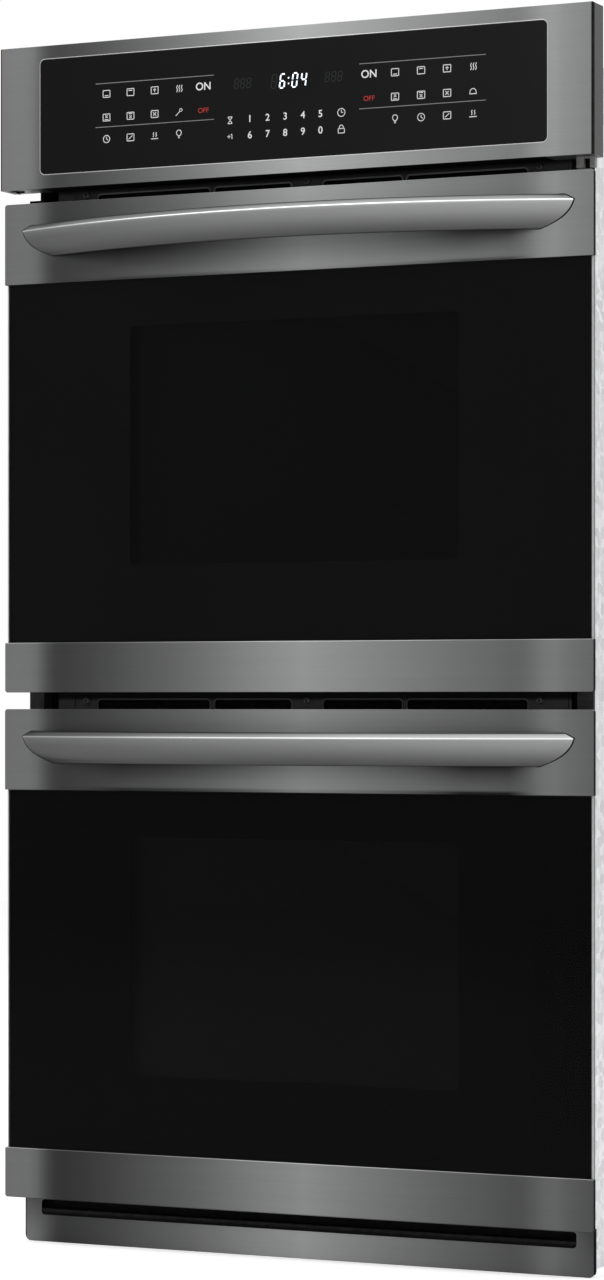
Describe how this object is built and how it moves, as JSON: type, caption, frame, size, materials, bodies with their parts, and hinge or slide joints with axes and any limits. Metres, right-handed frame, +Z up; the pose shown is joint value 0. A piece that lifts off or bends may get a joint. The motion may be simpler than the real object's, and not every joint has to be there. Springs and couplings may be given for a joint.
{
  "type": "wall oven",
  "caption": "Built-in double wall oven with two drop-down glass doors, bowed bar handles and a glass touch control panel above.",
  "frame": {"origin": "centre of the bounding box in plan, on the plane under the base pan", "axes": "+X to the right as one faces the doors, +Y into the cabinet, away from the user, +Z up"},
  "size_m": [0.6858, 0.6909, 1.298],
  "materials": {
    "brushed_dark_steel": "fine horizontal brushing, dark warm grey",
    "black_paint": "satin black",
    "galvanised_steel": "zinc-coated sheet",
    "grey_frame": "satin light grey",
    "dark_enamel": "dark porcelain enamel with fine specks",
    "tinted_glass": "polished dark tinted glass",
    "clear_glass": "clear heat-resistant glass",
    "glass_wool": "pale glass-fibre blanket",
    "woven_seal": "woven glass-fibre seal",
    "element_sheath": "oxidised dark nickel-alloy sheath",
    "plated_wire": "bright plated wire",
    "fan_steel": "plain pressed steel",
    "motor_black": "black enamelled can",
    "hinge_steel": "zinc-plated steel",
    "circuit_board": "green solder mask",
    "gland_plastic": "black moulded nylon"
  },
  "bodies": {
    "chassis": {"bake_elements": "element_sheath", "base_louver": "black_paint", "base_pan": "galvanised_steel", "base_trim": "brushed_dark_steel", "broil_elements": "element_sheath", "cavity_insulation": "glass_wool", "chassis_screws": "hinge_steel", "control_board": "circuit_board", "control_glass": "tinted_glass", "control_panel_trim": "brushed_dark_steel", "control_tray": "black_paint", "convection_elements": "element_sheath", "convection_motors": "motor_black", "cooling_fan_housing": "galvanised_steel", "cooling_motor": "motor_black", "display_module": "circuit_board", "door_gaskets": "woven_seal", "fan_baffles": "dark_enamel", "hinge_arms": "hinge_steel", "hinge_receivers": "galvanised_steel", "junction_box": "galvanised_steel", "latch_motors": "motor_black", "lower_cavity": "dark_enamel", "middle_duct": "galvanised_steel", "oven_lamps": "clear_glass", "rear_cover": "galvanised_steel", "side_panel_left": "galvanised_steel", "side_panel_right": "galvanised_steel", "side_trims": "black_paint", "supply_gland": "gland_plastic", "temperature_sensors": "element_sheath", "top_cover": "galvanised_steel", "upper_cavity": "dark_enamel", "vent_trim_middle": "black_paint", "vent_trim_upper": "black_paint"},
    "upper_door": {"upper_door_frame": "grey_frame", "upper_door_glass": "tinted_glass", "upper_door_handle": "brushed_dark_steel", "upper_door_handle_strip": "brushed_dark_steel", "upper_door_hinges": "hinge_steel", "upper_door_liner": "dark_enamel", "upper_door_lower_strip": "brushed_dark_steel", "upper_door_window": "clear_glass"},
    "upper_rack_high": {"upper_rack_high": "plated_wire"},
    "upper_rack_low": {"upper_rack_low": "plated_wire"},
    "upper_fan_wheel": {"upper_fan_wheel": "fan_steel"},
    "upper_latch_hook": {"upper_latch_hook": "hinge_steel"},
    "lower_door": {"lower_door_frame": "grey_frame", "lower_door_glass": "tinted_glass", "lower_door_handle": "brushed_dark_steel", "lower_door_handle_strip": "brushed_dark_steel", "lower_door_hinges": "hinge_steel", "lower_door_liner": "dark_enamel", "lower_door_lower_strip": "brushed_dark_steel", "lower_door_window": "clear_glass"},
    "lower_rack_high": {"lower_rack_high": "plated_wire"},
    "lower_rack_low": {"lower_rack_low": "plated_wire"},
    "lower_fan_wheel": {"lower_fan_wheel": "fan_steel"},
    "lower_latch_hook": {"lower_latch_hook": "hinge_steel"},
    "cooling_fan_wheel": {"cooling_fan_wheel": "fan_steel"}
  },
  "joints": [
    {"name": "upper_door_hinge", "type": "hinge", "parent": "chassis", "child": "upper_door", "pos_m": [0, -0.263, 0.61], "axis": [1, 0, 0], "range_deg": [0, 90], "stiffness_Nm_per_rad": 20, "springref_deg": -17.19},
    {"name": "upper_rack_high_slide", "type": "slide", "parent": "chassis", "child": "upper_rack_high", "axis": [0, -1, 0], "range_m": [0, 0.252]},
    {"name": "upper_rack_low_slide", "type": "slide", "parent": "chassis", "child": "upper_rack_low", "axis": [0, -1, 0], "range_m": [0, 0.252]},
    {"name": "upper_fan_spin", "type": "hinge", "parent": "chassis", "child": "upper_fan_wheel", "pos_m": [0, 0.2405, 0.862], "axis": [0, 1, 0], "continuous": true},
    {"name": "upper_latch_swing", "type": "hinge", "parent": "chassis", "child": "upper_latch_hook", "pos_m": [0, -0.2115, 1.104], "axis": [0, 0, -1], "range_deg": [0, 78]},
    {"name": "lower_door_hinge", "type": "hinge", "parent": "chassis", "child": "lower_door", "pos_m": [0, -0.263, 0.0615], "axis": [1, 0, 0], "range_deg": [0, 90], "stiffness_Nm_per_rad": 20, "springref_deg": -17.19},
    {"name": "lower_rack_high_slide", "type": "slide", "parent": "chassis", "child": "lower_rack_high", "axis": [0, -1, 0], "range_m": [0, 0.252]},
    {"name": "lower_rack_low_slide", "type": "slide", "parent": "chassis", "child": "lower_rack_low", "axis": [0, -1, 0], "range_m": [0, 0.252]},
    {"name": "lower_fan_spin", "type": "hinge", "parent": "chassis", "child": "lower_fan_wheel", "pos_m": [0, 0.2405, 0.3135], "axis": [0, 1, 0], "continuous": true},
    {"name": "lower_latch_swing", "type": "hinge", "parent": "chassis", "child": "lower_latch_hook", "pos_m": [0, -0.2115, 0.5555], "axis": [0, 0, -1], "range_deg": [0, 78]},
    {"name": "cooling_fan_spin", "type": "hinge", "parent": "chassis", "child": "cooling_fan_wheel", "pos_m": [0, 0.0705, 1.16], "axis": [0, 0, 1], "continuous": true}
  ],
  "couplings": [
    {"joint": "upper_rack_high_slide", "follows": "upper_door_hinge", "m_per_rad": 0.16},
    {"joint": "upper_rack_low_slide", "follows": "upper_door_hinge", "m_per_rad": 0.16},
    {"joint": "lower_rack_high_slide", "follows": "lower_door_hinge", "m_per_rad": 0.16},
    {"joint": "lower_rack_low_slide", "follows": "lower_door_hinge", "m_per_rad": 0.16}
  ]
}
